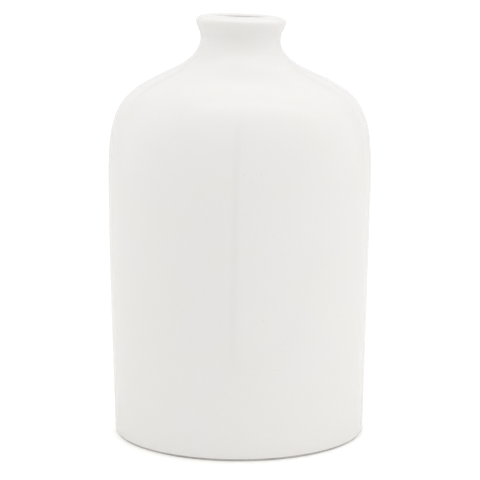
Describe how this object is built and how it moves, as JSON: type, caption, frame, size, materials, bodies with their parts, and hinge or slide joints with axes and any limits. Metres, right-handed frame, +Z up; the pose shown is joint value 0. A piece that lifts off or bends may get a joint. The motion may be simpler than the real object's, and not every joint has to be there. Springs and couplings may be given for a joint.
{
  "type": "bud vase",
  "caption": "Bottle-form ceramic bud vase with a round shoulder, a short waisted neck and a flared lip, for one or a few flower stems.",
  "frame": {"origin": "on the vase's axis, at the resting face of its foot ring", "axes": "+Z up along the vase's axis, from the foot to the mouth; +X and +Y level, in no special direction, because the vase is round"},
  "size_m": [0.094, 0.094, 0.15],
  "materials": {
    "clay": "matt, bare fired clay",
    "glaze": "glossy warm white"
  },
  "bodies": {
    "root": {"clay_body": "clay", "outer_glaze": "glaze", "liner_glaze": "glaze", "base_glaze": "glaze"}
  },
  "joints": []
}
